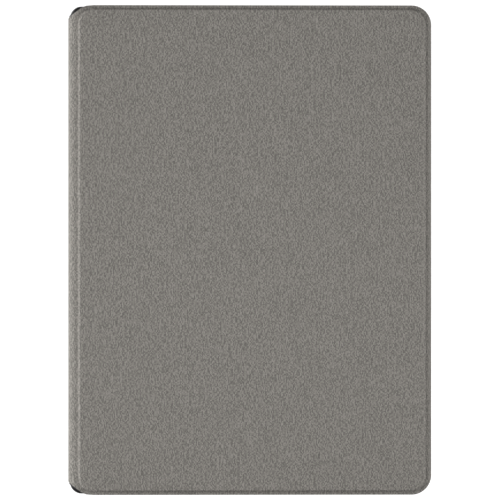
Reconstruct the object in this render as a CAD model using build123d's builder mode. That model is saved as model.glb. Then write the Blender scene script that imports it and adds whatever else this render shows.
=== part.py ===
"""Folio case for a 9.7-inch tablet: a hard tray in a fabric book cover.

The closed case stands on its bottom edge. X runs to the right, Y to the back and Z up.
The front cover faces -Y, the spine is on the left (-X), and the origin is under the middle.
Lengths are in millimetres.
"""
from build123d import *
from math import atan2, degrees
import os

# ---------------------------------------------------------------- driving dimensions
WIDTH = 183.4           # spine to free edge
HEIGHT = 247.0
CORNER_R = 10.0         # outer corners of the covers

FABRIC_T = 0.5
BOARD_T = 1.2
LINING_T = 0.3
ADHESIVE_T = 0.2
PAD_T = 0.3
COVER_GAP = 0.2         # closed front cover to the tray's rim

TRAY_DEPTH = 10.0
TRAY_PLATE_T = 1.4
TRAY_REBATE = 1.2       # the plate is let into the frame by this much all round
TRAY_LIP_T = 0.8
TRAY_INSET_X = 0.9      # tray inside the covers' outline
TRAY_INSET_Z = 0.4
TRAY_CORNER_R = 8.6
TRAY_SPINE_CORNER_R = 5.8   # the corners that show past the spine's sloped ends
TRAY_EDGE_R = 2.9
BAY_WIDTH = 170.0       # the bay that the tablet snaps into
BAY_HEIGHT = 240.5
BAY_CORNER_R = 9.7
PAD_INSET = 1.0
ADHESIVE_INSET = 4.0
LIP_OVERHANG = 0.8      # hooks over the tablet at the four corners
LIP_LENGTH = 30.0

SPINE_R = 3.8           # outer radius of the two rounded folds
FOLD_START = 12.0       # degrees of the round that stay with each neighbouring panel
SPINE_END_X = 6.6       # where the sloped spine end meets the cover's outline
SPINE_END_Z = 1.55
SPINE_CUT_Z = 6.4       # height that the slope loses at the spine's outer face

RAISE_RIGHT = 1.9       # flat rim around the raised panel, at the foot of its slope
RAISE_ENDS = 1.7
RAISE_SPINE = 4.4
RAISE_SLOPE = 1.4       # width of the slope
RAISE_CORNER_R = 8.5
BOARD_INSET = 1.5       # board edge, from the foot of the slope

STIFFENER_T = 0.2
STIFFENER_WIDTH = 3.6
STIFFENER_END = 13.0

CAMERA_X = 73.3
CAMERA_Z = 232.0
CAMERA_R = 7.3
CAMERA_RING_T = 1.7

PORT_Y = -0.4           # middle of the tablet's edge
CONNECTOR_SIZE = (22.0, 6.0)
SPEAKER_SIZE = (24.0, 5.2)
SPEAKER_X = 34.0
JACK_X = -72.5
JACK_R = 4.0
MICROPHONE_R = 1.2

BUTTON_SIZE = (3.0, 11.0)
BUTTON_PROUD = 0.3
BUTTON_CLEARANCE = 0.2
BUTTON_WALL = 1.6       # wall that the volume buttons' caps pass through
POCKET_R = 1.0
CAP_END_FLAT = 0.1      # the caps' rounded ends stop this far short of full rounds
FLANGE_T = 0.7
FLANGE_EXTRA = 1.6      # flange larger than the cap
FLANGE_GAP = 0.1
PLUNGER_SIZE = (2.6, 6.0)
PLUNGER_RECESS = 0.2
POWER_X = 61.5
POWER_WALL = 1.2
VOLUME_Z = {"volume_up_button": 213.5, "volume_down_button": 199.5}

MAGNET_LENGTH = 20.0
MAGNET_Z = (60.0, 110.0, 160.0)
TRAY_MAGNET_SIZE = (2.4, 3.0)
TRAY_MAGNET_X = 88.2
TRAY_MAGNET_FRONT = 1.1     # plastic in front of the tray's magnets
COVER_MAGNET_WIDTH = 4.0
COVER_MAGNET_X = 84.4
MAGNET_CLEARANCE = 0.1
WAKE_MAGNET_R = 2.5
WAKE_MAGNET_AT = (76.0, 190.0)
MAGNET_T = 1.0

# ---------------------------------------------------------------- derived positions
HALF_W = WIDTH / 2
LAMINATE_T = FABRIC_T + LINING_T
COVER_T = LAMINATE_T + BOARD_T

TRAY_FRONT = -TRAY_DEPTH / 2
TRAY_BACK = TRAY_DEPTH / 2
BAY_FRONT = TRAY_FRONT + TRAY_LIP_T
BAY_BACK = TRAY_BACK - TRAY_PLATE_T
INNER_FACE = TRAY_DEPTH / 2 + COVER_GAP         # both covers' inner faces, from the mid-plane
BOARD_FACE = INNER_FACE + LINING_T
RIM_FACE = INNER_FACE + LAMINATE_T
BOARD_OUTER = BOARD_FACE + BOARD_T
OUTER_FACE = INNER_FACE + COVER_T

FOLD_X = -HALF_W + SPINE_R                      # centres of the two rounded folds
FOLD_Y = RIM_FACE - SPINE_R
LINING_R = SPINE_R - LAMINATE_T
FABRIC_R = SPINE_R - FABRIC_T

TRAY_HALF_W = HALF_W - TRAY_INSET_X
TRAY_TOP = HEIGHT - TRAY_INSET_Z
BAY_TOP = (HEIGHT + BAY_HEIGHT) / 2
MID_Z = HEIGHT / 2


def depth_plane(y):
    """Upright sketch plane at a depth y; sketches read (X, Z) and extrude to the front."""
    return Plane.XZ.offset(-y)


def slab(y_back, y_front, centre, size, corner_r, taper=0.0, mode=Mode.ADD):
    """Rounded upright plate between two depths."""
    with BuildSketch(depth_plane(y_back)) as outline:
        with Locations(centre):
            RectangleRounded(*size, corner_r)
    extrude(outline.sketch, amount=y_back - y_front, taper=taper, mode=mode)


def wall_cut(plane, centre, size, depth, corner_r):
    """Rounded slot cut into a wall, from a plane on its face."""
    with BuildSketch(plane) as outline:
        with Locations(centre):
            RectangleRounded(*size, corner_r)
    extrude(outline.sketch, amount=-depth, mode=Mode.SUBTRACT)


def fold_round(side, inner_r, outer_r, first, last):
    """Section of a rounded fold, in degrees from the cover's face towards the spine."""
    centre = Vector(FOLD_X, side * FOLD_Y)
    start = 90.0 * side + first * side
    sweep = (last - first) * side
    with BuildLine() as edge:
        outer = CenterArc(centre, outer_r, start, sweep)
        inner = CenterArc(centre, inner_r, start, sweep)
        Line(outer @ 0, inner @ 0)
        Line(outer @ 1, inner @ 1)
    make_face(edge.edges())


def panel_section(side, inner_face, outer_face, right_x):
    """Flat sheet of a cover with the first degrees of its fold, seen from above."""
    with BuildLine() as edge:
        Polyline(
            (FOLD_X, side * inner_face),
            (right_x, side * inner_face),
            (right_x, side * outer_face),
            (FOLD_X, side * outer_face),
            close=True,
        )
    make_face(edge.edges())
    fold_round(side, inner_face - FOLD_Y, outer_face - FOLD_Y, 0.0, FOLD_START)


def spine_section(inner_r, outer_r):
    """Flat sheet of the spine with the last degrees of both folds, seen from above."""
    with BuildLine() as edge:
        Polyline(
            (FOLD_X - inner_r, -FOLD_Y),
            (FOLD_X - inner_r, FOLD_Y),
            (FOLD_X - outer_r, FOLD_Y),
            (FOLD_X - outer_r, -FOLD_Y),
            close=True,
        )
    make_face(edge.edges())
    for side in (-1, 1):
        fold_round(side, inner_r, outer_r, 90.0 - FOLD_START, 90.0)


# ---------------------------------------------------------------- shared shapes
RAISED_LEFT = -HALF_W + RAISE_SPINE
RAISED_RIGHT = HALF_W - RAISE_RIGHT
RAISED_CENTRE = ((RAISED_LEFT + RAISED_RIGHT) / 2, MID_Z)
RAISED_SIZE = (RAISED_RIGHT - RAISED_LEFT, HEIGHT - 2 * RAISE_ENDS)
RAISED_TAPER = degrees(atan2(RAISE_SLOPE, BOARD_T))
BOARD_SIZE = (RAISED_SIZE[0] - 2 * BOARD_INSET, RAISED_SIZE[1] - 2 * BOARD_INSET)
BOARD_CORNER_R = RAISE_CORNER_R - BOARD_INSET

# The covers' outline, with a sloped end above and below the spine.
MEET_X = -HALF_W + SPINE_END_X
ROUND_X = MEET_X + (CORNER_R**2 - (CORNER_R - SPINE_END_Z) ** 2) ** 0.5

with BuildPart() as cover_outline:
    with BuildSketch(depth_plane(OUTER_FACE)):
        with BuildLine():
            top = Line((ROUND_X, HEIGHT), (HALF_W - CORNER_R, HEIGHT))
            RadiusArc(top @ 1, (HALF_W, HEIGHT - CORNER_R), CORNER_R)
            Line((HALF_W, HEIGHT - CORNER_R), (HALF_W, CORNER_R))
            RadiusArc((HALF_W, CORNER_R), (HALF_W - CORNER_R, 0), CORNER_R)
            Line((HALF_W - CORNER_R, 0), (ROUND_X, 0))
            RadiusArc((ROUND_X, 0), (MEET_X, SPINE_END_Z), CORNER_R)
            Line((MEET_X, SPINE_END_Z), (-HALF_W, SPINE_CUT_Z))
            Line((-HALF_W, SPINE_CUT_Z), (-HALF_W, HEIGHT - SPINE_CUT_Z))
            Line((-HALF_W, HEIGHT - SPINE_CUT_Z), (MEET_X, HEIGHT - SPINE_END_Z))
            RadiusArc((MEET_X, HEIGHT - SPINE_END_Z), top @ 0, CORNER_R)
        make_face()
    extrude(amount=2 * OUTER_FACE)

# ---------------------------------------------------------------- front and back covers
# Each board is a flat stiffener. The front one holds the closing magnets and the magnet
# that wakes the tablet; the back one is pierced for the camera ring.
with BuildPart() as front_board:
    slab(-BOARD_FACE, -BOARD_OUTER, RAISED_CENTRE, BOARD_SIZE, BOARD_CORNER_R)
    with BuildSketch(depth_plane(-BOARD_FACE)):
        with Locations(*[(COVER_MAGNET_X, z) for z in MAGNET_Z]):
            Rectangle(COVER_MAGNET_WIDTH + MAGNET_CLEARANCE, MAGNET_LENGTH + MAGNET_CLEARANCE)
        with Locations(WAKE_MAGNET_AT):
            Circle(WAKE_MAGNET_R + MAGNET_CLEARANCE)
    extrude(amount=MAGNET_T, mode=Mode.SUBTRACT)

with BuildPart() as back_board:
    slab(BOARD_OUTER, BOARD_FACE, RAISED_CENTRE, BOARD_SIZE, BOARD_CORNER_R)
    with BuildSketch(depth_plane(BOARD_OUTER)):
        with Locations((CAMERA_X, CAMERA_Z)):
            Circle(CAMERA_R + CAMERA_RING_T)
    extrude(amount=BOARD_T, mode=Mode.SUBTRACT)

# The outer fabric is pressed over the boards: a flat rim, a slope and the raised panel.
with BuildPart() as raised_panel:
    slab(-RIM_FACE, -OUTER_FACE, RAISED_CENTRE, RAISED_SIZE, RAISE_CORNER_R, RAISED_TAPER)

with BuildPart() as front_fabric:
    with BuildSketch():
        panel_section(-1, BOARD_FACE, RIM_FACE, HALF_W)
    extrude(amount=HEIGHT)
    add(raised_panel.part)
    slab(-BOARD_FACE, -BOARD_OUTER, RAISED_CENTRE, BOARD_SIZE, BOARD_CORNER_R, mode=Mode.SUBTRACT)
    add(cover_outline.part, mode=Mode.INTERSECT)

with BuildPart() as back_fabric:
    with BuildSketch():
        panel_section(1, BOARD_FACE, RIM_FACE, HALF_W)
    extrude(amount=HEIGHT)
    mirror(raised_panel.part, about=Plane.XZ)
    slab(BOARD_OUTER, BOARD_FACE, RAISED_CENTRE, BOARD_SIZE, BOARD_CORNER_R, mode=Mode.SUBTRACT)
    add(cover_outline.part, mode=Mode.INTERSECT)
    with BuildSketch(depth_plane(OUTER_FACE)):
        with Locations((CAMERA_X, CAMERA_Z)):
            Circle(CAMERA_R + CAMERA_RING_T)
    extrude(amount=COVER_T, mode=Mode.SUBTRACT)

# The linings stop just inside the fabric's edges, so the fabric is what meets the table.
with BuildPart() as front_lining:
    with BuildSketch(Plane.XY.offset(LINING_T)):
        panel_section(-1, INNER_FACE, BOARD_FACE, HALF_W - LINING_T)
    extrude(amount=HEIGHT - 2 * LINING_T)
    add(cover_outline.part, mode=Mode.INTERSECT)

with BuildPart() as back_lining:
    with BuildSketch(Plane.XY.offset(LINING_T)):
        panel_section(1, INNER_FACE, BOARD_FACE, HALF_W - LINING_T)
    extrude(amount=HEIGHT - 2 * LINING_T)
    add(cover_outline.part, mode=Mode.INTERSECT)
    with BuildSketch(depth_plane(BOARD_FACE)):
        with Locations((CAMERA_X, CAMERA_Z)):
            Circle(CAMERA_R + CAMERA_RING_T)
    extrude(amount=LINING_T, mode=Mode.SUBTRACT)

with BuildPart() as closure_magnets:
    with BuildSketch(depth_plane(-BOARD_FACE)):
        with Locations(*[(COVER_MAGNET_X, z) for z in MAGNET_Z]):
            Rectangle(COVER_MAGNET_WIDTH, MAGNET_LENGTH)
    extrude(amount=MAGNET_T)

with BuildPart() as wake_magnet:
    with BuildSketch(depth_plane(-BOARD_FACE)):
        with Locations(WAKE_MAGNET_AT):
            Circle(WAKE_MAGNET_R)
    extrude(amount=MAGNET_T)

with BuildPart() as camera_ring:
    with BuildSketch(depth_plane(OUTER_FACE)):
        with Locations((CAMERA_X, CAMERA_Z)):
            Circle(CAMERA_R + CAMERA_RING_T)
            Circle(CAMERA_R, mode=Mode.SUBTRACT)
    extrude(amount=OUTER_FACE - TRAY_BACK)

# ---------------------------------------------------------------- spine and its two folds
SPINE_SPAN = HEIGHT - 2 * STIFFENER_END

with BuildPart() as spine_fabric:
    with BuildSketch():
        spine_section(FABRIC_R, SPINE_R)
    extrude(amount=HEIGHT)
    with BuildSketch(Plane.YZ.offset(FOLD_X - FABRIC_R)):
        with Locations((0, MID_Z)):
            Rectangle(STIFFENER_WIDTH, SPINE_SPAN)
    extrude(amount=-STIFFENER_T, mode=Mode.SUBTRACT)
    add(cover_outline.part, mode=Mode.INTERSECT)

with BuildPart() as spine_stiffener:
    with BuildSketch(Plane.YZ.offset(FOLD_X - FABRIC_R)):
        with Locations((0, MID_Z)):
            Rectangle(STIFFENER_WIDTH, SPINE_SPAN)
    extrude(amount=-STIFFENER_T)

with BuildPart() as spine_lining:
    with BuildSketch():
        spine_section(LINING_R, FABRIC_R)
    extrude(amount=HEIGHT)
    add(cover_outline.part, mode=Mode.INTERSECT)

# The fold strips are where the laminate bends; they change shape as the case opens.
with BuildPart() as front_fold_strip:
    with BuildSketch():
        fold_round(-1, LINING_R, SPINE_R, FOLD_START, 90.0 - FOLD_START)
    extrude(amount=HEIGHT)
    add(cover_outline.part, mode=Mode.INTERSECT)

with BuildPart() as back_fold_strip:
    with BuildSketch():
        fold_round(1, LINING_R, SPINE_R, FOLD_START, 90.0 - FOLD_START)
    extrude(amount=HEIGHT)
    add(cover_outline.part, mode=Mode.INTERSECT)

# ---------------------------------------------------------------- tray
TRAY_SIZE = (2 * TRAY_HALF_W, HEIGHT - 2 * TRAY_INSET_Z)
TRAY_CENTRE = (0, MID_Z)
BAY_HALF_W = BAY_WIDTH / 2
LIP_OPENING = (BAY_WIDTH - 2 * LIP_OVERHANG, BAY_HEIGHT - 2 * LIP_OVERHANG)
SLOT_SIZE = tuple(side + 2 * BUTTON_CLEARANCE for side in BUTTON_SIZE)
POCKET_SIZE = tuple(side + FLANGE_EXTRA + 2 * BUTTON_CLEARANCE for side in BUTTON_SIZE)
SLOT_R = SLOT_SIZE[0] / 2 - CAP_END_FLAT
VOLUME_POCKET_X = TRAY_HALF_W - BUTTON_WALL
POWER_POCKET_Z = TRAY_TOP - POWER_WALL
MAGNET_POCKET_FRONT = TRAY_FRONT + TRAY_MAGNET_FRONT

PLATE_SIZE = (BAY_WIDTH + 2 * TRAY_REBATE, BAY_HEIGHT + 2 * TRAY_REBATE)
PLATE_CORNER_R = BAY_CORNER_R + TRAY_REBATE

# The frame runs round the tablet; the hard back plate is let into a rebate behind the bay.
with BuildPart() as tray_frame:
    with BuildSketch(depth_plane(TRAY_BACK)) as tray_outline:
        with Locations(TRAY_CENTRE):
            Rectangle(*TRAY_SIZE)
        fillet(tray_outline.vertices().sort_by(Axis.X)[:2], TRAY_SPINE_CORNER_R)
        fillet(tray_outline.vertices().sort_by(Axis.X)[-2:], TRAY_CORNER_R)
    extrude(amount=TRAY_DEPTH)
    fillet(tray_frame.faces().filter_by(Axis.Y).edges(), TRAY_EDGE_R)
    slab(BAY_BACK, BAY_FRONT, TRAY_CENTRE, (BAY_WIDTH, BAY_HEIGHT), BAY_CORNER_R, mode=Mode.SUBTRACT)
    slab(TRAY_BACK, BAY_BACK, TRAY_CENTRE, PLATE_SIZE, PLATE_CORNER_R, mode=Mode.SUBTRACT)
    # The front is open to the full bay except at the corners, where the lips hook over.
    with BuildSketch(depth_plane(BAY_FRONT)):
        with Locations(TRAY_CENTRE):
            RectangleRounded(*LIP_OPENING, BAY_CORNER_R - LIP_OVERHANG)
            Rectangle(BAY_WIDTH, BAY_HEIGHT - 2 * LIP_LENGTH)
            Rectangle(BAY_WIDTH - 2 * LIP_LENGTH, BAY_HEIGHT)
    extrude(amount=TRAY_LIP_T, mode=Mode.SUBTRACT)
    # Bottom edge: connector and two speakers. Top edge: headphone jack and microphone.
    with BuildSketch(Plane.XY):
        with Locations((0, PORT_Y)):
            SlotOverall(*CONNECTOR_SIZE)
        with Locations((-SPEAKER_X, PORT_Y), (SPEAKER_X, PORT_Y)):
            SlotOverall(*SPEAKER_SIZE)
    extrude(amount=HEIGHT - BAY_TOP, mode=Mode.SUBTRACT)
    with BuildSketch(Plane.XY.offset(HEIGHT)):
        with Locations((JACK_X, PORT_Y)):
            Circle(JACK_R)
        with Locations((0, PORT_Y)):
            Circle(MICROPHONE_R)
    extrude(amount=BAY_TOP - HEIGHT, mode=Mode.SUBTRACT)
    # Button pockets open into the bay; only the caps pass through the outer wall.
    for button_z in VOLUME_Z.values():
        wall_cut(Plane.YZ.offset(TRAY_HALF_W), (0, button_z), SLOT_SIZE, BUTTON_WALL, SLOT_R)
        pocket_depth = VOLUME_POCKET_X - BAY_HALF_W
        wall_cut(Plane.YZ.offset(VOLUME_POCKET_X), (0, button_z), POCKET_SIZE, pocket_depth, POCKET_R)
    wall_cut(Plane.XY.offset(TRAY_TOP), (POWER_X, 0), SLOT_SIZE[::-1], POWER_WALL, SLOT_R)
    pocket_depth = POWER_POCKET_Z - BAY_TOP
    wall_cut(Plane.XY.offset(POWER_POCKET_Z), (POWER_X, 0), POCKET_SIZE[::-1], pocket_depth, POCKET_R)
    # Magnet pockets open at the tray's back, under the adhesive.
    with BuildSketch(depth_plane(TRAY_BACK)):
        with Locations(*[(TRAY_MAGNET_X, z) for z in MAGNET_Z]):
            Rectangle(TRAY_MAGNET_SIZE[0] + MAGNET_CLEARANCE, MAGNET_LENGTH + MAGNET_CLEARANCE)
    extrude(amount=TRAY_BACK - MAGNET_POCKET_FRONT, mode=Mode.SUBTRACT)

with BuildPart() as tray_plate:
    slab(TRAY_BACK, BAY_BACK, TRAY_CENTRE, PLATE_SIZE, PLATE_CORNER_R)
    with BuildSketch(depth_plane(TRAY_BACK)):
        with Locations((CAMERA_X, CAMERA_Z)):
            Circle(CAMERA_R)
    extrude(amount=TRAY_PLATE_T, mode=Mode.SUBTRACT)

with BuildPart() as tray_magnets:
    with BuildSketch(depth_plane(MAGNET_POCKET_FRONT + TRAY_MAGNET_SIZE[1])):
        with Locations(*[(TRAY_MAGNET_X, z) for z in MAGNET_Z]):
            Rectangle(TRAY_MAGNET_SIZE[0], MAGNET_LENGTH)
    extrude(amount=TRAY_MAGNET_SIZE[1])

with BuildPart() as tray_pad:
    pad_size = (BAY_WIDTH - 2 * PAD_INSET, BAY_HEIGHT - 2 * PAD_INSET)
    slab(BAY_BACK, BAY_BACK - PAD_T, TRAY_CENTRE, pad_size, BAY_CORNER_R - PAD_INSET)
    with BuildSketch(depth_plane(BAY_BACK)):
        with Locations((CAMERA_X, CAMERA_Z)):
            Circle(CAMERA_R + PAD_INSET)
    extrude(amount=PAD_T, mode=Mode.SUBTRACT)

with BuildPart() as adhesive_sheet:
    sheet_size = tuple(side - 2 * ADHESIVE_INSET for side in TRAY_SIZE)
    slab(INNER_FACE, TRAY_BACK, TRAY_CENTRE, sheet_size, TRAY_CORNER_R - TRAY_EDGE_R)
    with BuildSketch(depth_plane(INNER_FACE)):
        with Locations((CAMERA_X, CAMERA_Z)):
            Circle(CAMERA_R + CAMERA_RING_T)
    extrude(amount=ADHESIVE_T, mode=Mode.SUBTRACT)

# ---------------------------------------------------------------- buttons
CAP_R = BUTTON_SIZE[0] / 2 - CAP_END_FLAT
FLANGE_SIZE = tuple(side + FLANGE_EXTRA for side in BUTTON_SIZE)


def button_layer(plane, centre, size, depth, corner_r):
    """One rounded block of a button, from a plane towards the tablet."""
    with BuildSketch(plane) as outline:
        with Locations(centre):
            RectangleRounded(*size, corner_r)
    extrude(outline.sketch, amount=-depth)


volume_buttons = {}
for button_name, button_z in VOLUME_Z.items():
    with BuildPart() as button:
        centre = (0, button_z)
        flange_x = VOLUME_POCKET_X - FLANGE_GAP
        cap_x = TRAY_HALF_W + BUTTON_PROUD
        button_layer(Plane.YZ.offset(cap_x), centre, BUTTON_SIZE, cap_x - flange_x, CAP_R)
        fillet(button.faces().sort_by(Axis.X)[-1].edges(), BUTTON_PROUD / 2)
        button_layer(Plane.YZ.offset(flange_x), centre, FLANGE_SIZE, FLANGE_T, POCKET_R)
        plunger_depth = flange_x - BAY_HALF_W - PLUNGER_RECESS
        button_layer(Plane.YZ.offset(flange_x), centre, PLUNGER_SIZE, plunger_depth, POCKET_R)
    volume_buttons[button_name] = button.part

with BuildPart() as power_button:
    power_centre = (POWER_X, 0)
    flange_z = POWER_POCKET_Z - FLANGE_GAP
    cap_z = TRAY_TOP + BUTTON_PROUD
    button_layer(Plane.XY.offset(cap_z), power_centre, BUTTON_SIZE[::-1], cap_z - flange_z, CAP_R)
    fillet(power_button.faces().sort_by(Axis.Z)[-1].edges(), BUTTON_PROUD / 2)
    button_layer(Plane.XY.offset(flange_z), power_centre, FLANGE_SIZE[::-1], FLANGE_T, POCKET_R)

# ---------------------------------------------------------------- files
pieces = {
    "front_fabric": front_fabric.part,
    "front_board": front_board.part,
    "front_lining": front_lining.part,
    "closure_magnets": closure_magnets.part,
    "wake_magnet": wake_magnet.part,
    "front_fold_strip": front_fold_strip.part,
    "spine_fabric": spine_fabric.part,
    "spine_stiffener": spine_stiffener.part,
    "spine_lining": spine_lining.part,
    "back_fold_strip": back_fold_strip.part,
    "back_fabric": back_fabric.part,
    "back_board": back_board.part,
    "back_lining": back_lining.part,
    "adhesive_sheet": adhesive_sheet.part,
    "camera_ring": camera_ring.part,
    "tray_frame": tray_frame.part,
    "tray_plate": tray_plate.part,
    "tray_pad": tray_pad.part,
    "tray_magnets": tray_magnets.part,
    "power_button": power_button.part,
    **volume_buttons,
}

os.makedirs("parts", exist_ok=True)
for node, piece in pieces.items():
    piece.label = node
    export_step(piece, f"parts/{node}.step")
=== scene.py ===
"""The looks of a fabric folio case for a tablet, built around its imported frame, in metres."""
import math

import bpy
import numpy as np
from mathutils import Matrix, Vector


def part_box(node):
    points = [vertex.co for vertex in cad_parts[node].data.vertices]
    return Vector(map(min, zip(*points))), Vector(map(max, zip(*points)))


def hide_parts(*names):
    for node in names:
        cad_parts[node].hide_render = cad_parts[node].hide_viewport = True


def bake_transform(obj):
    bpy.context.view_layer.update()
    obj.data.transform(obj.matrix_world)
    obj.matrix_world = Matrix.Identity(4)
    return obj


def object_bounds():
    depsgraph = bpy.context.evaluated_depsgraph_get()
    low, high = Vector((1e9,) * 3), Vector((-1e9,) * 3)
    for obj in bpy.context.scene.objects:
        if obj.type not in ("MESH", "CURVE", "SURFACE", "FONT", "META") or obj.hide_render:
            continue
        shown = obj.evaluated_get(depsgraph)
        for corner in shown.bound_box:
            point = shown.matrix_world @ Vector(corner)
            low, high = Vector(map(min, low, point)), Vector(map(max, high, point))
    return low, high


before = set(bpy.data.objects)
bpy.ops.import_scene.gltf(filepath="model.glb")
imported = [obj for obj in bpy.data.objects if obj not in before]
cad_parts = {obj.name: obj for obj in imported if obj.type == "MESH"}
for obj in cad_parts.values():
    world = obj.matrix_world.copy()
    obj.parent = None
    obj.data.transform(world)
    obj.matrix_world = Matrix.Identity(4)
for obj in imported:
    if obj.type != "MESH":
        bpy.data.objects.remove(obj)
cad_low, cad_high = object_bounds()
MM = 0.001
COVER_GAP = 0.2 * MM                    # closed front cover to the tray

# ------------------------------------------------------------------ places from the frame
left, bottom = cad_low.x, cad_low.z
right, top = cad_high.x, cad_high.z
mid_z = (bottom + top) / 2
fabric_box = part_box("front_fabric")
board_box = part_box("front_board")
tray_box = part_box("tray_frame")

outer_face = -fabric_box[0].y
board_outer = -board_box[0].y
board_face = -board_box[1].y
inner_face = -tray_box[0].y + COVER_GAP
fabric_t = outer_face - board_outer
rim_face = board_face + fabric_t
laminate_t = rim_face - inner_face

SPINE_R = 3.8 * MM                      # outer radius of the rounded folds
CORNER_R = 10.0 * MM                    # outer corners of the covers
fold_x = left + SPINE_R
fold_y = rim_face - SPINE_R

# The slope of the pressed panel starts RAISE_* inside the cover's outline.
RAISE_RIGHT, RAISE_ENDS, RAISE_SPINE = 2.5 * MM, 1.45 * MM, 5.0 * MM
RAISE_R = 8.5 * MM
SLOPE, SLOPE_AT_SPINE = 1.15 * MM, 1.5 * MM
GROOVE_DEPTH, GROOVE_WIDTH = 0.12 * MM, 0.40 * MM
CROWN = 0.10 * MM                       # the padded panel stands a little proud in the middle
EDGE_R = 0.24 * MM                      # rounded cut edge of the rim
FOLD_EASE, FOLD_EASE_X = 0.42 * MM, 5.6 * MM    # the folds ease into the flat rim
INNER_EASE_LOSS = 0.9                   # how much less the lining's face eases
BOARD_INSET = 1.5 * MM                  # board edge, from the foot of the slope
LINING_INSET = 0.12 * MM                # lining inside the fabric at the top and bottom

# The spine's ends slope from the cover's outline down to the spine's outer face.
MEET_X, MEET_Z, CUT_Z = 6.6 * MM, 1.55 * MM, 6.4 * MM
LINING_CUT_Z = 5.5 * MM                 # the dark lining shows a little past the fabric there


# ------------------------------------------------------------------ outline and relief
def end_gap(x, cut_z):
    """How far below the top (or above the bottom) the covers' outline lies at each x."""
    x = np.asarray(x, float)
    gap = np.zeros_like(x)
    free = x > right - CORNER_R
    gap[free] = CORNER_R - np.sqrt(np.maximum(CORNER_R**2 - (x[free] - right + CORNER_R) ** 2, 0))
    meet = left + MEET_X
    centre = meet + math.sqrt(CORNER_R**2 - (CORNER_R - MEET_Z) ** 2)
    arc = (x < centre) & (x >= meet)
    gap[arc] = CORNER_R - np.sqrt(CORNER_R**2 - (centre - x[arc]) ** 2)
    sloped = x < meet
    gap[sloped] = MEET_Z + (meet - x[sloped]) * (cut_z - MEET_Z) / MEET_X
    return gap


def inside_distance(x, z, inset_left, inset_right, inset_ends, radius):
    """Distance inside a rounded rectangle set back from the cover's edges; negative outside."""
    x_low, x_high = left + inset_left, right - inset_right
    z_low, z_high = bottom + inset_ends, top - inset_ends
    dx = np.abs(x - (x_low + x_high) / 2) - ((x_high - x_low) / 2 - radius)
    dz = np.abs(z - (z_low + z_high) / 2) - ((z_high - z_low) / 2 - radius)
    outside = np.hypot(np.maximum(dx, 0), np.maximum(dz, 0))
    return radius - outside - np.minimum(np.maximum(dx, dz), 0)


def smooth(t):
    """Smoothstep from 0 to 1."""
    t = np.clip(t, 0, 1)
    return t * t * (3 - 2 * t)


def panel_relief(x, z):
    """Height of the pressed fabric above the flat rim, with marks for its groove (also painted shade in
    the colour), for a painted highlight near the free edge and for painted shade on the top and bottom
    rims.
    """
    d = inside_distance(x, z, RAISE_SPINE, RAISE_RIGHT, RAISE_ENDS, RAISE_R)
    off_spine = smooth((x - left - RAISE_SPINE) / (5 * MM))
    slope = SLOPE_AT_SPINE + (SLOPE - SLOPE_AT_SPINE) * off_spine
    rise = outer_face - rim_face - CROWN
    height = rise * smooth(d / slope) ** 0.85
    height += CROWN * smooth((d - slope) / (9 * MM))
    groove = np.exp(-((d + 0.1 * MM) / GROOVE_WIDTH) ** 2) * (0.15 + 0.85 * off_spine)
    # Painted highlight on the shoulder near the free edge, and painted light on the free edge's rim,
    # which the raised panel shades from the key lamp.
    to_free = right - x
    near_free_edge = smooth((8 * MM - to_free) / (3 * MM))
    lightening = 0.5 * near_free_edge * np.exp(-((d - slope) / (0.5 * MM)) ** 2)
    lightening = np.maximum(lightening, near_free_edge * smooth((2.6 * MM - to_free) / (2 * MM)))
    # Painted shade on the flat rim near the top and bottom.
    to_end = np.minimum(z - bottom, top - z)
    end_rim_shade = smooth((0.3 * MM - d) / (0.5 * MM)) * smooth((4 * MM - to_end) / (2 * MM))
    return height - GROOVE_DEPTH * groove, groove, lightening, end_rim_shade


def edge_drop(distance, radius):
    """Rounding of a cut edge, by distance from it."""
    t = np.clip(radius - distance, 0, radius)
    return radius - np.sqrt(np.maximum(radius**2 - t**2, 0))


# ------------------------------------------------------------------ developed cross-section
quarter = SPINE_R * math.pi / 2
spine_half = fold_y
EDGE_STEPS = np.array([0.0, 0.03, 0.08, 0.15, 0.24])    # across the rounded cut edge, in mm
SPINE_STEPS, FOLD_STEPS = 6, 18


def panel_columns():
    """Distances from the fold's start to the free edge: close together at both borders."""
    width = right - fold_x
    border_left = np.arange(0, 6.0, 0.25) * MM
    from_edge = np.concatenate([EDGE_STEPS, np.arange(0.4, 5.0, 0.25), np.arange(5.0, 14.0, 0.5)])
    border_right = width - from_edge[::-1] * MM
    middle = np.linspace(border_left[-1], border_right[0], 44)[1:-1]
    return np.concatenate([border_left, middle, border_right])


def end_rows():
    """Heights as shares of a column: close together at both ends."""
    length = top - bottom
    from_end = np.concatenate([EDGE_STEPS, np.arange(0.4, 4.5, 0.25), np.arange(4.5, 13.0, 0.7)])
    border = from_end * MM / length
    middle = np.linspace(border[-1], 1 - border[-1], 64)[1:-1]
    return np.concatenate([border, middle, 1 - border[::-1]])


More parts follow.
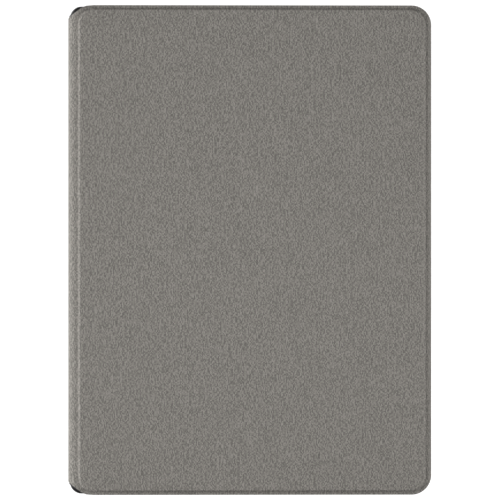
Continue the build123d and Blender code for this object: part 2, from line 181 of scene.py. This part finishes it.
def section(side, depth):
    """Points of one wrap half from mid-spine to the free edge.

    depth is how far the surface lies inside the fabric's outer face. It returns the
    developed distance, x, y and the outward normal on the flat-rim surface, and the index
    of the first point on the panel.
    """
    radius = SPINE_R - depth
    flat = np.linspace(0, spine_half, SPINE_STEPS + 1)[:-1]
    angles = np.linspace(math.pi / 2, 0, FOLD_STEPS + 1)[:-1]
    columns = panel_columns()
    on_flat, on_panel = np.ones_like(flat), np.ones_like(columns)
    nx = np.concatenate([-on_flat, -np.sin(angles), 0 * on_panel])
    ny = np.concatenate([0 * on_flat, np.cos(angles), on_panel])
    x = np.concatenate([(fold_x - radius) * on_flat, fold_x - radius * np.sin(angles), fold_x + columns])
    y = np.concatenate([flat, fold_y + radius * np.cos(angles), (rim_face - depth) * on_panel])
    along_fold = spine_half + SPINE_R * (math.pi / 2 - angles)
    s = np.concatenate([flat, along_fold, spine_half + quarter + columns])
    # The outer face eases from the fold into the rim, and the faces inside it much less.
    ease = FOLD_EASE * (1 - INNER_EASE_LOSS * depth / laminate_t)
    y -= ease * smooth((left + FOLD_EASE_X - x) / (FOLD_EASE_X - 2 * MM)) * smooth(y / fold_y)
    return s, x, side * y, nx, side * ny, SPINE_STEPS + FOLD_STEPS


def wrap_grid(side, depth, raised, cut_z, inset=0.0):
    """Grid of points of one skin of the wrap, with its developed coordinates and marks."""
    s, x, y, nx, ny, first_panel = section(side, depth)
    shares = end_rows()
    gap = end_gap(x, cut_z) + inset
    z = bottom + gap[None, :] + shares[:, None] * (top - bottom - 2 * gap[None, :])
    x2, y2 = np.broadcast_to(x, z.shape).copy(), np.broadcast_to(y, z.shape).copy()
    # Distances to the cut edges, which are rounded over on the outer fabric.
    to_end = np.minimum(z - bottom - gap[None, :], top - gap[None, :] - z)
    to_right = right - inset - x2
    on_panel = np.arange(len(x)) >= first_panel
    marks = np.zeros(z.shape + (3,))
    push = np.zeros(z.shape)
    if raised:
        # The marks carry painted shade in the groove and on the end rims and a painted highlight near
        # the free edge.
        height, *shade_and_highlight_marks = panel_relief(x2, z)
        push = np.where(on_panel[None, :], height, 0.0)
        marks = np.stack([np.where(on_panel[None, :], mark, 0.0) for mark in shade_and_highlight_marks], -1)
        push -= edge_drop(to_end, EDGE_R)
        push -= np.where(on_panel[None, :], edge_drop(to_right, EDGE_R), 0.0)
    x2 += nx[None, :] * push
    y2 += ny[None, :] * push
    points = np.stack([x2, y2, z], -1)
    uv = np.stack([np.broadcast_to(side * s, z.shape), z], -1)
    return points, uv, marks


def closed_sheet(name, outer, inner, flip):
    """Closed mesh from an outer and an inner grid of the same size, joined at their edges."""
    points_out, uv_out, marks_out = outer
    points_in, uv_in, marks_in = inner
    rows, columns = points_out.shape[:2]
    count = rows * columns
    vertices = np.concatenate([points_out.reshape(-1, 3), points_in.reshape(-1, 3)])
    uvs = np.concatenate([uv_out.reshape(-1, 2), uv_in.reshape(-1, 2)])
    marks = np.concatenate([marks_out.reshape(-1, 3), marks_in.reshape(-1, 3)])
    index = np.arange(count).reshape(rows, columns)
    a, b, c, d = index[:-1, :-1], index[:-1, 1:], index[1:, 1:], index[1:, :-1]
    front = np.stack([a, b, c, d], -1).reshape(-1, 4)
    back = front[:, ::-1] + count
    border = np.concatenate(
        [index[0, :], index[1:, -1], index[-1, -2::-1], index[-2:0:-1, 0]]
    )
    after = np.roll(border, -1)
    sides = np.stack([after, border, border + count, after + count], -1)
    faces = np.concatenate([front, back, sides])
    if flip:
        faces = faces[:, ::-1]
    mesh = bpy.data.meshes.new(name)
    mesh.from_pydata(vertices.tolist(), [], faces.tolist())
    layer = mesh.uv_layers.new(name="developed")
    loops = np.empty(len(mesh.loops), np.int32)
    mesh.loops.foreach_get("vertex_index", loops)
    layer.data.foreach_set("uv", uvs[loops].astype(np.float32).ravel())
    # Attributes for the colour: painted shade in the groove and on the end rims, and a painted highlight
    # near the free edge.
    for channel, label in enumerate(("groove", "lightening", "end_rim_shade")):
        attribute = mesh.attributes.new(label, "FLOAT", "POINT")
        attribute.data.foreach_set("value", marks[:, channel].astype(np.float32))
    mesh.polygons.foreach_set("use_smooth", [True] * len(mesh.polygons))
    mesh.update()
    piece = bpy.data.objects.new(name, mesh)
    bpy.context.scene.collection.objects.link(piece)
    return piece


CRISP_ANGLE = 50


def sharpen(piece, degrees):
    """Keeps edges sharper than the angle crisp, and rounds the rest in shading."""
    piece.data.set_sharp_from_angle(angle=math.radians(degrees))


# ------------------------------------------------------------------ node materials
class Nodes:
    """Short helper that adds shader nodes and links them."""

    def __init__(self, name):
        self.material = bpy.data.materials.new(name)
        self.material.use_nodes = True
        self.tree = self.material.node_tree
        self.shader = self.tree.nodes["Principled BSDF"]

    def add(self, kind, **settings):
        node = self.tree.nodes.new(kind)
        for key, value in settings.items():
            setattr(node, key, value)
        return node

    def put(self, value, socket):
        if isinstance(value, bpy.types.NodeSocket):
            self.tree.links.new(value, socket)
        else:
            socket.default_value = value

    def math(self, operation, a, b=0.0, c=0.0):
        node = self.add("ShaderNodeMath", operation=operation)
        for value, socket in zip((a, b, c), node.inputs):
            self.put(value, socket)
        return node.outputs[0]

    def mapping(self, vector, scale):
        node = self.add("ShaderNodeMapping")
        self.put(vector, node.inputs["Vector"])
        node.inputs["Scale"].default_value = scale
        return node.outputs["Vector"]

    def noise(self, vector, scale, detail=2.0, roughness=0.5):
        node = self.add("ShaderNodeTexNoise")
        self.put(vector, node.inputs["Vector"])
        node.inputs["Scale"].default_value = scale
        node.inputs["Detail"].default_value = detail
        node.inputs["Roughness"].default_value = roughness
        return node.outputs["Fac"]

    def white(self, a, b):
        """A random value for each pair of whole numbers."""
        vector = self.add("ShaderNodeCombineXYZ")
        self.put(a, vector.inputs[0])
        self.put(b, vector.inputs[1])
        node = self.add("ShaderNodeTexWhiteNoise", noise_dimensions="2D")
        self.put(vector.outputs[0], node.inputs["Vector"])
        return node.outputs["Value"]

    def spread(self, value, low, high, to_low, to_high):
        node = self.add("ShaderNodeMapRange")
        for item, socket in zip((value, low, high, to_low, to_high), node.inputs):
            self.put(item, socket)
        return node.outputs["Result"]

    def mix(self, factor, a, b, blend="MIX"):
        node = self.add("ShaderNodeMix", data_type="RGBA", blend_type=blend)
        self.put(factor, node.inputs["Factor"])
        self.put(a, node.inputs[6])
        self.put(b, node.inputs[7])
        return node.outputs[2]

    def bump(self, height, strength, distance, normal=None):
        node = self.add("ShaderNodeBump")
        node.inputs["Strength"].default_value = strength
        node.inputs["Distance"].default_value = distance
        self.put(height, node.inputs["Height"])
        if normal is not None:
            self.put(normal, node.inputs["Normal"])
        return node.outputs["Normal"]

    def attribute(self, name):
        node = self.add("ShaderNodeAttribute", attribute_name=name)
        return node.outputs["Fac"]


def woven_fabric(name, warp_pitch, weft_pitch, dark, light):
    """Plain weave of heathered yarns, laid in the sheet's own developed coordinates."""
    n = Nodes(name)
    uv = n.add("ShaderNodeUVMap", uv_map="developed").outputs["UV"]
    split = n.add("ShaderNodeSeparateXYZ")
    n.put(uv, split.inputs[0])
    # Yarns wander a little, so the weave isn't ruled.
    wander = n.math("SUBTRACT", n.noise(uv, 300.0, 2.0), 0.5)
    shift = n.math("MULTIPLY", wander, 1.6)
    u = n.math("MULTIPLY_ADD", split.outputs["X"], 1 / warp_pitch, shift)
    v = n.math("MULTIPLY_ADD", split.outputs["Y"], 1 / weft_pitch, shift)
    warp_id, weft_id = n.math("FLOOR", u), n.math("FLOOR", v)
    parity = n.math("PINGPONG", n.math("ADD", warp_id, weft_id), 1.0)
    warp_round = n.math("SINE", n.math("MULTIPLY", n.math("FRACT", u), math.pi))
    weft_round = n.math("SINE", n.math("MULTIPLY", n.math("FRACT", v), math.pi))
    warp_over = n.math("MULTIPLY_ADD", weft_round, parity, 0.5)
    weft_over = n.math("MULTIPLY_ADD", warp_round, n.math("SUBTRACT", 1.0, parity), 0.3)
    warp_high = n.math("MULTIPLY", warp_round, warp_over)
    weft_high = n.math("MULTIPLY", weft_round, weft_over)
    height = n.math("MAXIMUM", warp_high, weft_high)
    on_warp = n.math("GREATER_THAN", warp_high, weft_high)

    def flecks(yarn, along, length):
        """Tone of each short length of a yarn, which differs from its neighbours'."""
        start = n.white(yarn, 0.5)
        return n.white(yarn, n.math("FLOOR", n.math("MULTIPLY_ADD", along, 1 / length, start)))

    # Light and dark warp yarns lie in pairs, so one is light where its neighbour is dark.
    pair_id = n.math("FLOOR", n.math("MULTIPLY", u, 0.5))
    pair = n.math("SUBTRACT", flecks(pair_id, v, WARP_FLECK), 0.5)
    turn = n.math("MULTIPLY_ADD", n.math("PINGPONG", warp_id, 1.0), 2.0, -1.0)
    own = flecks(n.math("ADD", warp_id, 0.21), v, WARP_FLECK)
    warp_tone = n.math("MULTIPLY_ADD", n.math("MULTIPLY", pair, turn), PAIR_CONTRAST, own)
    weft_tone = flecks(n.math("ADD", weft_id, 0.37), u, WEFT_FLECK)
    weft_share = n.math("MULTIPLY_ADD", on_warp, -0.5, 0.5)
    tone = n.spread(weft_share, 0.0, 1.0, warp_tone, weft_tone)
    cloud = n.math("SUBTRACT", n.noise(uv, 60.0, 3.0), 0.5)
    fibre = n.math("SUBTRACT", n.noise(uv, 4200.0, 2.0), 0.5)
    tone = n.math("ADD", tone, n.math("MULTIPLY", cloud, 0.10))
    tone = n.math("ADD", tone, n.math("MULTIPLY", fibre, 0.25))
    colour = n.mix(n.spread(tone, 0.0, 1.0, 0.0, 1.0), dark, light)
    # Painted shade: the colour darkens between the yarns, in the groove and on the top and bottom rims.
    gap = n.spread(height, 0.1, 0.6, 0.75, 1.0)
    groove, end_rim_shade = n.attribute("groove"), n.attribute("end_rim_shade")
    gap = n.math("MULTIPLY", gap, n.spread(end_rim_shade, 0.0, 1.0, 1.0, RIM_SHADE))
    gap = n.math("MULTIPLY", gap, n.spread(groove, 0.0, 1.0, 1.0, GROOVE_SHADE))
    shade = n.add("ShaderNodeCombineColor")
    for socket in shade.inputs[:3]:
        n.put(gap, socket)
    colour = n.mix(1.0, colour, shade.outputs[0], "MULTIPLY")
    # Painted highlight on the right shoulder and painted light on the free edge's rim.
    lightening = n.math("MULTIPLY", n.attribute("lightening"), 0.35)
    colour = n.mix(lightening, colour, tuple(min(1.0, c * 1.2) for c in light[:3]) + (1.0,))
    n.put(colour, n.shader.inputs["Base Color"])
    n.put(n.spread(tone, 0.0, 1.0, 0.80, 0.95), n.shader.inputs["Roughness"])
    fuzz = n.math("MULTIPLY_ADD", fibre, 0.45, height)
    n.put(n.bump(fuzz, 0.6, 0.10 * MM), n.shader.inputs["Normal"])
    n.shader.inputs["Sheen Weight"].default_value = 0.08
    n.shader.inputs["Sheen Roughness"].default_value = 0.5
    n.shader.inputs["Specular IOR Level"].default_value = 0.2
    return n.material


def microfibre(name, colour, coordinates="developed"):
    """Short brushed nap with faint strokes in two directions."""
    n = Nodes(name)
    if coordinates == "developed":
        vector = n.add("ShaderNodeUVMap", uv_map="developed").outputs["UV"]
    else:
        vector = n.add("ShaderNodeTexCoord").outputs["Object"]
    nap = n.noise(vector, 1900.0, 3.0, 0.7)
    strokes = n.noise(n.mapping(vector, (18.0, 60.0, 18.0)), 1.0, 3.0)
    tone = n.math("ADD", n.math("MULTIPLY", nap, 0.6), n.math("MULTIPLY", strokes, 0.5))
    light = tuple(min(1.0, c * 1.9) for c in colour[:3]) + (1.0,)
    n.put(n.mix(n.spread(tone, 0.38, 0.75, 0.0, 1.0), colour, light), n.shader.inputs["Base Color"])
    n.put(n.spread(strokes, 0.3, 0.7, 0.86, 0.98), n.shader.inputs["Roughness"])
    n.put(n.bump(nap, 0.4, 0.06 * MM), n.shader.inputs["Normal"])
    n.shader.inputs["Sheen Weight"].default_value = 0.25
    n.shader.inputs["Sheen Roughness"].default_value = 0.35
    return n.material


def moulded_plastic(name, colour, roughness, grain, coat=0.0):
    """Moulded plastic with a fine spark-eroded texture and faint handling marks."""
    n = Nodes(name)
    position = n.add("ShaderNodeTexCoord").outputs["Object"]
    texture = n.noise(position, 2400.0, 2.0, 0.6)
    marks = n.noise(n.mapping(position, (30.0, 30.0, 8.0)), 1.0, 4.0)
    lightening = n.spread(marks, 0.35, 0.7, 0.0, 1.0)
    light = tuple(c * 1.8 + 0.004 for c in colour[:3]) + (1.0,)
    n.put(n.mix(n.math("MULTIPLY", lightening, 0.5), colour, light), n.shader.inputs["Base Color"])
    n.put(n.spread(n.math("ADD", texture, lightening), 0.4, 1.6, roughness - 0.07, roughness + 0.12),
          n.shader.inputs["Roughness"])
    n.put(n.bump(texture, grain, 0.04 * MM), n.shader.inputs["Normal"])
    n.shader.inputs["Coat Weight"].default_value = coat
    n.shader.inputs["Specular IOR Level"].default_value = 0.35
    return n.material


def pressed_board(name, colour):
    """Grey board made of pressed fibres."""
    n = Nodes(name)
    position = n.add("ShaderNodeTexCoord").outputs["Object"]
    fibres = n.noise(n.mapping(position, (220.0, 900.0, 420.0)), 1.0, 4.0, 0.7)
    dark = tuple(c * 0.6 for c in colour[:3]) + (1.0,)
    n.put(n.mix(n.spread(fibres, 0.35, 0.65, 0.0, 1.0), dark, colour), n.shader.inputs["Base Color"])
    n.put(n.spread(fibres, 0.3, 0.7, 0.85, 0.95), n.shader.inputs["Roughness"])
    n.put(n.bump(fibres, 0.3, 0.05 * MM), n.shader.inputs["Normal"])
    return n.material


def plated_metal(name, colour):
    """Nickel plating with faint brushing."""
    n = Nodes(name)
    position = n.add("ShaderNodeTexCoord").outputs["Object"]
    brushed = n.noise(n.mapping(position, (4000.0, 4000.0, 60.0)), 1.0, 3.0)
    dark = tuple(c * 0.8 for c in colour[:3]) + (1.0,)
    n.put(n.mix(brushed, dark, colour), n.shader.inputs["Base Color"])
    n.put(n.spread(brushed, 0.3, 0.7, 0.22, 0.38), n.shader.inputs["Roughness"])
    n.put(n.bump(brushed, 0.15, 0.02 * MM), n.shader.inputs["Normal"])
    n.shader.inputs["Metallic"].default_value = 1.0
    return n.material


COVER_DARK = (0.1635, 0.155, 0.1417, 1.0)
COVER_LIGHT = (0.350, 0.332, 0.3035, 1.0)
WARP_PITCH, WEFT_PITCH = 0.58 * MM, 0.56 * MM
WARP_FLECK, WEFT_FLECK = 1.3, 1.2         # in yarns crossed
PAIR_CONTRAST = 1.3
RIM_SHADE, GROOVE_SHADE = 0.86, 0.80
looks = {
    "cover": woven_fabric("cover_weave", WARP_PITCH, WEFT_PITCH, COVER_DARK, COVER_LIGHT),
    "lining": microfibre("lining_nap", (0.030, 0.030, 0.033, 1.0)),
    "pad": microfibre("pad_nap", (0.030, 0.030, 0.033, 1.0), "object"),
    "tray": moulded_plastic("tray_plastic", (0.010, 0.010, 0.011, 1.0), 0.42, 0.35),
    "button": moulded_plastic("button_plastic", (0.014, 0.014, 0.015, 1.0), 0.34, 0.12),
    "ring": moulded_plastic("ring_plastic", (0.009, 0.009, 0.010, 1.0), 0.22, 0.05, coat=0.4),
    "board": pressed_board("pressed_board", (0.34, 0.31, 0.27, 1.0)),
    "film": moulded_plastic("film_plastic", (0.42, 0.42, 0.41, 1.0), 0.45, 0.05),
    "glue": moulded_plastic("glue_film", (0.50, 0.50, 0.47, 1.0), 0.55, 0.20),
    "nickel": plated_metal("nickel_plate", (0.62, 0.61, 0.58, 1.0)),
}
CAD_LOOKS = {
    "tray_frame": "tray", "tray_plate": "tray", "tray_pad": "pad", "camera_ring": "ring",
    "power_button": "button", "volume_up_button": "button", "volume_down_button": "button",
    "front_board": "board", "back_board": "board", "spine_stiffener": "film", "adhesive_sheet": "glue",
    "closure_magnets": "nickel", "wake_magnet": "nickel", "tray_magnets": "nickel",
}
for node, look in CAD_LOOKS.items():
    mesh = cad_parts[node].data
    mesh.materials.clear()
    mesh.materials.append(looks[look])


# ------------------------------------------------------------------ fabric and lining
def cut_camera_window(piece):
    """Round hole for the camera ring through a skin of the back cover."""
    low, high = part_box("camera_ring")
    centre = (low + high) / 2
    bpy.ops.mesh.primitive_cylinder_add(
        vertices=96, radius=(high.x - low.x) / 2, depth=20 * MM,
        location=(centre.x, outer_face, centre.z), rotation=(math.pi / 2, 0, 0),
    )
    cutter = bpy.context.object
    cut = piece.modifiers.new("window", "BOOLEAN")
    cut.object, cut.operation, cut.solver = cutter, "DIFFERENCE", "EXACT"
    bpy.context.view_layer.update()
    evaluated = piece.evaluated_get(bpy.context.evaluated_depsgraph_get())
    shaped = bpy.data.meshes.new_from_object(evaluated)
    piece.modifiers.clear()
    old, piece.data = piece.data, shaped
    bpy.data.meshes.remove(old)
    bpy.data.objects.remove(cutter)


def skin(name, side, outer_depth, inner_depth, raised, look, nodes):
    """One half of the outer fabric or of the lining, from mid-spine to the free edge."""
    inset = 0.0 if raised else LINING_INSET
    cut_z = CUT_Z if raised else LINING_CUT_Z
    outer = wrap_grid(side, outer_depth, raised, cut_z, inset)
    inner = wrap_grid(side, inner_depth, False, cut_z, inset)
    if raised:
        lift_inner(inner, side)
    piece = closed_sheet(name, outer, inner, flip=side < 0)
    piece.data.materials.append(looks[look])
    if side > 0:
        cut_camera_window(piece)
    sharpen(piece, CRISP_ANGLE)
    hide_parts(*nodes)
    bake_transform(piece)
    return piece


def lift_inner(inner, side):
    """The fabric's inner face follows the board, so it rises over it."""
    points = inner[0]
    d = inside_distance(
        points[..., 0], points[..., 2], RAISE_SPINE + BOARD_INSET, RAISE_RIGHT + BOARD_INSET,
        RAISE_ENDS + BOARD_INSET, RAISE_R - BOARD_INSET,
    )
    points[..., 1] += side * (board_outer - board_face) * smooth((d + 0.35 * MM) / (0.4 * MM))


skin("front_cover_fabric", -1, 0.0, fabric_t, True, "cover",
     ["front_fabric", "front_fold_strip", "spine_fabric"])
skin("back_cover_fabric", 1, 0.0, fabric_t, True, "cover",
     ["back_fabric", "back_fold_strip"])
skin("front_cover_lining", -1, fabric_t, laminate_t, False, "lining",
     ["front_lining", "spine_lining"])
skin("back_cover_lining", 1, fabric_t, laminate_t, False, "lining",
     ["back_lining"])


# ------------------------------------------------------------------ floor, lights, camera
def stage_material():
    """Pale paper that glows evenly, so it reads white without a bright bounce."""
    n = Nodes("pale_paper")
    position = n.add("ShaderNodeTexCoord").outputs["Object"]
    grain = n.noise(position, 400.0, 2.0)
    dark, light = (0.08, 0.08, 0.08, 1.0), (0.12, 0.12, 0.12, 1.0)
    n.put(n.mix(grain, dark, light), n.shader.inputs["Base Color"])
    n.shader.inputs["Roughness"].default_value = 0.9
    n.shader.inputs["Emission Color"].default_value = (1.0, 1.0, 1.0, 1.0)
    n.shader.inputs["Emission Strength"].default_value = 1.0
    return n.material


def make_stage():
    """A round sheet of pale paper: flat under the case and curving up far away all round."""
    flat, bend, wall = 2.6, 0.8, 3.5
    profile = [(0.3, 0.0), (flat, 0.0)]
    for step in range(1, 12):
        angle = step * math.pi / 24
        profile.append((flat + bend * math.sin(angle), bend - bend * math.cos(angle)))
    profile.append((flat + bend, wall))
    spokes = 72
    vertices = [(0.0, 0.0, 0.0)]
    for radius, height in profile:
        for spoke in range(spokes):
            angle = spoke * math.tau / spokes
            vertices.append((radius * math.cos(angle), radius * math.sin(angle), height))
    faces = [(0, 1 + spoke, 1 + (spoke + 1) % spokes) for spoke in range(spokes)]
    for ring in range(len(profile) - 1):
        for spoke in range(spokes):
            a = 1 + ring * spokes + spoke
            b = 1 + ring * spokes + (spoke + 1) % spokes
            faces.append((a, a + spokes, b + spokes, b))
    mesh = bpy.data.meshes.new("paper_bowl")
    mesh.from_pydata(vertices, [], faces)
    mesh.polygons.foreach_set("use_smooth", [True] * len(mesh.polygons))
    bowl = bpy.data.objects.new("paper_bowl", mesh)
    bpy.context.scene.collection.objects.link(bowl)
    mesh.materials.append(stage_material())
    # The paper's own glow whitens the paper alone, so it doesn't light the case from below.
    paper_only = bpy.data.collections.new("paper_only")
    paper_only.objects.link(bowl)
    bowl.light_linking.receiver_collection = paper_only


def area_light(name, location, size, power, target):
    """Soft rectangular lamp aimed at a point."""
    light = bpy.data.lights.new(name, "AREA")
    light.shape, light.size, light.size_y, light.energy = "RECTANGLE", size[0], size[1], power
    lamp = bpy.data.objects.new(name, light)
    lamp.location = location
    lamp.rotation_euler = (Vector(target) - Vector(location)).to_track_quat("-Z", "Y").to_euler()
    bpy.context.scene.collection.objects.link(lamp)


make_stage()
middle = (0.0, 0.0, mid_z)
area_light("key_left", (-1.67, -0.32, 0.125), (0.60, 0.24), 31.0, middle)
area_light("fill_right", (1.67, -0.30, 0.125), (0.60, 0.24), 13.0, middle)
area_light("fill_front", (0.0, -0.80, 0.05), (0.5, 0.08), 3.0, middle)
area_light("back_left", (-1.6, 1.3, 1.0), (2.0, 1.6), 24.0, middle)
area_light("back_right", (1.6, 1.3, 1.0), (2.0, 1.6), 18.0, middle)

world = bpy.data.worlds.new("soft_room")
world.use_nodes = True
world.node_tree.nodes["Background"].inputs["Color"].default_value = (1.0, 1.0, 1.0, 1.0)
world.node_tree.nodes["Background"].inputs["Strength"].default_value = 0.06
bpy.context.scene.world = world
bpy.context.scene.view_settings.view_transform = "Standard"

CAMERA_DISTANCE = 1.10
FRAME_HEIGHT = 0.25193                   # what the view takes in at the front cover's face
AZIMUTH = math.radians(-0.6)
camera_data = bpy.data.cameras.new("camera")
camera_data.sensor_width = 36.0
camera_data.lens = camera_data.sensor_width * CAMERA_DISTANCE / FRAME_HEIGHT
camera = bpy.data.objects.new("camera", camera_data)
aim = Vector((0.17 * MM, -outer_face, mid_z + 0.02 * MM))
camera.location = aim + CAMERA_DISTANCE * Vector((math.sin(AZIMUTH), -math.cos(AZIMUTH), 0.0))
camera.rotation_euler = (aim - camera.location).to_track_quat("-Z", "Y").to_euler()
bpy.context.scene.collection.objects.link(camera)
bpy.context.scene.camera = camera
